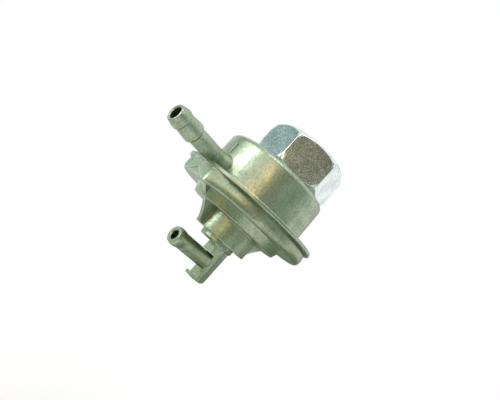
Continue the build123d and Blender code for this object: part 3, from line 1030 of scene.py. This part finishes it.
@dataclass(frozen=True)
class SolidFinishes:
    """Finishes of the pieces whose solid shapes stay."""

    by_node: ClassVar[dict[str, Finish]] = {
        "tap_body": CAST_BODY,
        "vacuum_cover": CAST_COVER,
        "inlet_sleeve": BRASS,
        "sleeve_seal_ring": RUBBER,
        "inlet_washer": FIBRE,
        "strainer_frame": NYLON,
        "valve_seat": VALVE_BRASS,
        "upper_plate": PLATE,
        "lower_plate": PLATE,
        "valve_rivet": RIVET,
        "valve_seal": RUBBER,
        "stem_clip": PLATE,
        "spring_seat_washer": PLATE,
        "guide_bush": VALVE_BRASS,
    }

    def dress(self) -> None:
        """Gives each solid its material, one material a finish."""
        made: dict[str, bpy.types.Material] = {}
        for node, finish in self.by_node.items():
            if finish.name not in made:
                made[finish.name] = finish.material()
            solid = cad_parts[node]
            solid.data.materials.clear()
            solid.data.materials.append(made[finish.name])
            log.info("%s: %s", node, finish.name)


# Studio


def direction(azimuth_deg: float, elevation_deg: float) -> Vector:
    """Works out a direction from its angles.

    Args:
        azimuth_deg: Its angle from X towards Y.
        elevation_deg: Its angle above the level.

    Returns:
        The unit vector away from the object.
    """
    a, e = math.radians(azimuth_deg), math.radians(elevation_deg)
    return Vector((math.cos(a) * math.cos(e), math.sin(a) * math.cos(e), math.sin(e)))


@dataclass(frozen=True)
class Softbox:
    """Square lamp that faces the object from a direction."""

    name: str
    azimuth_deg: float
    elevation_deg: float
    distance: float
    size: float
    power: float
    colour: Colour = (1.0, 1.0, 1.0)

    def place(self, centre: Vector) -> None:
        """Hangs the lamp.

        Args:
            centre: The point that it faces.
        """
        away = direction(self.azimuth_deg, self.elevation_deg)
        data = bpy.data.lights.new(self.name, "AREA")
        data.size = self.size
        data.energy = self.power
        data.color = self.colour
        lamp = bpy.data.objects.new(self.name, data)
        bpy.context.scene.collection.objects.link(lamp)
        lamp.location = centre + away * self.distance
        lamp.rotation_euler = away.to_track_quat("Z", "Y").to_euler()
        lamp.visible_camera = False


@dataclass(frozen=True)
class Card:
    """Flat card that the metal mirrors as a patch of colour. The camera doesn't see it."""

    name: str
    azimuth_deg: float
    elevation_deg: float
    distance: float
    width: float
    height: float
    colour: Colour

    def material(self) -> bpy.types.Material:
        """Makes a plain glow of the card's colour.

        Returns:
            The material.
        """
        made = bpy.data.materials.new(self.name)
        made.use_nodes = True
        tree = made.node_tree
        tree.nodes.remove(tree.nodes["Principled BSDF"])
        glow = tree.nodes.new("ShaderNodeEmission")
        glow.inputs["Color"].default_value = (*self.colour, 1.0)
        tree.links.new(glow.outputs[0], tree.nodes["Material Output"].inputs["Surface"])
        return made

    def place(self, centre: Vector) -> None:
        """Stands the card, as one quad that faces the object.

        Args:
            centre: The point that it faces.
        """
        away = direction(self.azimuth_deg, self.elevation_deg)
        a = math.radians(self.azimuth_deg)
        side = Vector((-math.sin(a), math.cos(a), 0.0))
        over = away.cross(side)
        middle = centre + away * self.distance
        corners = [middle + side * (u * self.width / 2) + over * (v * self.height / 2)
                   for u, v in ((-1, -1), (1, -1), (1, 1), (-1, 1))]
        mesh = bpy.data.meshes.new(self.name)
        mesh.from_pydata([tuple(c) for c in corners], [], [(0, 1, 2, 3)])
        card = bpy.data.objects.new(self.name, mesh)
        bpy.context.scene.collection.objects.link(card)
        card.data.materials.append(self.material())
        card.visible_camera = False
        card.visible_shadow = False
        card.visible_diffuse = False
        card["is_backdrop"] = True


@dataclass(frozen=True)
class Studio:
    """Pale floor, white surroundings, soft lamps and cards."""

    floor_drop: float = 0.08
    floor_reach: float = 3.0
    floor_grey: Colour = (0.9, 0.9, 0.9)
    floor_roughness: float = 0.9
    near_glow: float = 0.3
    far_glow: float = 0.72
    fade_reach: float = 0.6
    ambient: float = 0.45
    # Name, azimuth, elevation, distance, size, power, colour
    softboxes: tuple[Softbox, ...] = (
        Softbox("left_softbox", -112.0, 8.0, 0.6, 0.23, 1.2),
        Softbox("top_softbox", -60.0, 62.0, 0.7, 0.3, 1.0),
        Softbox("warm_lamp", -52.0, 8.0, 0.4, 0.05, 0.08, (1.0, 0.5, 0.06)),
        Softbox("low_warm_lamp", -68.0, 0.0, 0.4, 0.03, 0.045, (1.0, 0.5, 0.06)),
    )
    # Name, azimuth, elevation, distance, width, height, colour
    cards: tuple[Card, ...] = (
        Card("brown_card", -31.0, 25.0, 0.5, 0.26, 0.29, (0.16, 0.14, 0.08)),
        Card("moss_card", -29.0, 0.0, 0.5, 0.24, 0.15, (0.3, 0.33, 0.23)),
        Card("olive_card", 12.0, 8.0, 0.48, 0.46, 0.6, (0.38, 0.46, 0.42)),
        Card("teal_card", -152.0, 25.0, 0.55, 0.2, 0.32, (0.15, 0.28, 0.26)),
        Card("pale_teal_card", -158.0, 1.0, 0.55, 0.34, 0.16, (0.55, 0.78, 0.74)),
        Card("edge_card", 131.0, 8.0, 0.5, 0.5, 0.5, (0.3, 0.33, 0.27)),
        Card("low_left_card", -85.0, -33.0, 0.1, 0.3, 0.1, (0.3, 0.38, 0.29)),
        Card("low_warm_card", -93.0, -38.0, 0.085, 0.02, 0.03, (1.0, 0.7, 0.3)),
        Card("low_right_card", 90.0, -31.0, 0.1, 0.16, 0.11, (0.26, 0.32, 0.24)),
    )

    def camera_rays(self, tree: bpy.types.NodeTree) -> Socket:
        """Tells what the eye sees, straight, in a mirror or through glass, from what lights.

        Args:
            tree: The node tree that it is added to.

        Returns:
            1 for what the eye sees, else 0.
        """
        path = tree.nodes.new("ShaderNodeLightPath")
        first = tree.nodes.new("ShaderNodeMath")
        first.operation = "MAXIMUM"
        second = tree.nodes.new("ShaderNodeMath")
        second.operation = "MAXIMUM"
        tree.links.new(path.outputs["Is Camera Ray"], first.inputs[0])
        tree.links.new(path.outputs["Is Glossy Ray"], first.inputs[1])
        tree.links.new(first.outputs[0], second.inputs[0])
        tree.links.new(path.outputs["Is Transmission Ray"], second.inputs[1])
        return second.outputs[0]

    def surroundings(self) -> None:
        """White world for what is seen, and a softer grey one for its light."""
        world = bpy.data.worlds.new("surroundings")
        world.use_nodes = True
        bpy.context.scene.world = world
        tree = world.node_tree
        background = tree.nodes["Background"]
        background.inputs["Color"].default_value = WHITE
        strength = tree.nodes.new("ShaderNodeMapRange")
        strength.inputs["To Min"].default_value = self.ambient
        strength.inputs["To Max"].default_value = 1.0
        tree.links.new(self.camera_rays(tree), strength.inputs["Value"])
        tree.links.new(strength.outputs["Result"], background.inputs["Strength"])

    def floor_material(self) -> bpy.types.Material:
        """Makes a pale matt surface that keeps a shadow.

        It has a glow that only the eye sees. The glow grows with the distance from the
        middle, so that the shadow shows and the far floor is as white as the surroundings.

        Returns:
            The material.
        """
        made = bpy.data.materials.new("pale_floor")
        made.use_nodes = True
        tree = made.node_tree
        surface = tree.nodes["Principled BSDF"]
        surface.inputs["Base Color"].default_value = (*self.floor_grey, 1.0)
        surface.inputs["Roughness"].default_value = self.floor_roughness
        surface.inputs["Specular IOR Level"].default_value = 0.0
        surface.inputs["Emission Color"].default_value = WHITE
        away = tree.nodes.new("ShaderNodeVectorMath")
        away.operation = "LENGTH"
        where = tree.nodes.new("ShaderNodeTexCoord").outputs["Object"]
        tree.links.new(where, away.inputs[0])
        fade = tree.nodes.new("ShaderNodeMapRange")
        fade.inputs["From Max"].default_value = self.fade_reach
        fade.inputs["To Min"].default_value = self.near_glow
        fade.inputs["To Max"].default_value = self.far_glow
        tree.links.new(away.outputs["Value"], fade.inputs["Value"])
        glow = tree.nodes.new("ShaderNodeMath")
        glow.operation = "MULTIPLY"
        tree.links.new(self.camera_rays(tree), glow.inputs[0])
        tree.links.new(fade.outputs["Result"], glow.inputs[1])
        tree.links.new(glow.outputs[0], surface.inputs["Emission Strength"])
        return made

    def floor(self, level: float) -> None:
        """Lays the floor, as one square.

        Args:
            level: The floor's height.
        """
        reach = self.floor_reach
        corners = [(x * reach, y * reach, level) for x, y in ((-1, -1), (1, -1), (1, 1), (-1, 1))]
        mesh = bpy.data.meshes.new("floor")
        mesh.from_pydata(corners, [], [(0, 1, 2, 3)])
        plane = bpy.data.objects.new("floor", mesh)
        bpy.context.scene.collection.objects.link(plane)
        plane.data.materials.append(self.floor_material())
        plane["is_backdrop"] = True

    def set_up(self) -> None:
        """Builds the studio round the object."""
        low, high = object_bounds()
        centre = (low + high) / 2
        self.surroundings()
        self.floor(low.z - self.floor_drop)
        for item in (*self.softboxes, *self.cards):
            item.place(centre)
        bpy.context.scene.view_settings.view_transform = "Standard"


@dataclass(frozen=True)
class PhotoCamera:
    """Camera at the photograph's place, looking slightly up with a tilted horizon."""

    azimuth_deg: float = 49.31
    elevation_deg: float = -6.37
    roll_deg: float = 41.88
    place_m: Triple = (0.107704, -0.097543, -0.035382)
    sensor_mm: float = 36.0
    focal_px: float = 520.0
    image_px: float = 500.0
    nearest_m: float = 0.01
    farthest_m: float = 10.0

    def place(self) -> None:
        """Makes the camera and names it the scene's own."""
        a, e, r = (math.radians(x) for x in (self.azimuth_deg, self.elevation_deg, self.roll_deg))
        back = Vector((math.sin(a) * math.cos(e), -math.cos(a) * math.cos(e), math.sin(e)))
        right = Vector((math.cos(a), math.sin(a), 0.0))
        up = back.cross(right)
        tilted_right = right * math.cos(r) + up * math.sin(r)
        tilted_up = up * math.cos(r) - right * math.sin(r)
        data = bpy.data.cameras.new("photo_camera")
        data.sensor_width = self.sensor_mm
        data.lens = self.sensor_mm * self.focal_px / self.image_px
        data.clip_start = self.nearest_m
        data.clip_end = self.farthest_m
        camera = bpy.data.objects.new("photo_camera", data)
        bpy.context.scene.collection.objects.link(camera)
        turned = Matrix((tilted_right, tilted_up, back)).transposed()
        camera.matrix_world = Matrix.Translation(self.place_m) @ turned.to_4x4()
        bpy.context.scene.camera = camera


def main() -> None:
    """Builds the pieces in order, dresses the solids and sets up the studio."""
    logging.basicConfig(level=logging.INFO, format="%(name)s: %(message)s")
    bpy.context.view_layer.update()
    PhotoCamera().place()
    SolidFinishes().dress()
    UnionNut().place()
    ReturnSpring().place()
    Diaphragm().place()
    StrainerGauze().place()
    for side in Side:
        LugCorner(side).place()
    Studio().set_up()


if __name__ == "__main__":
    main()
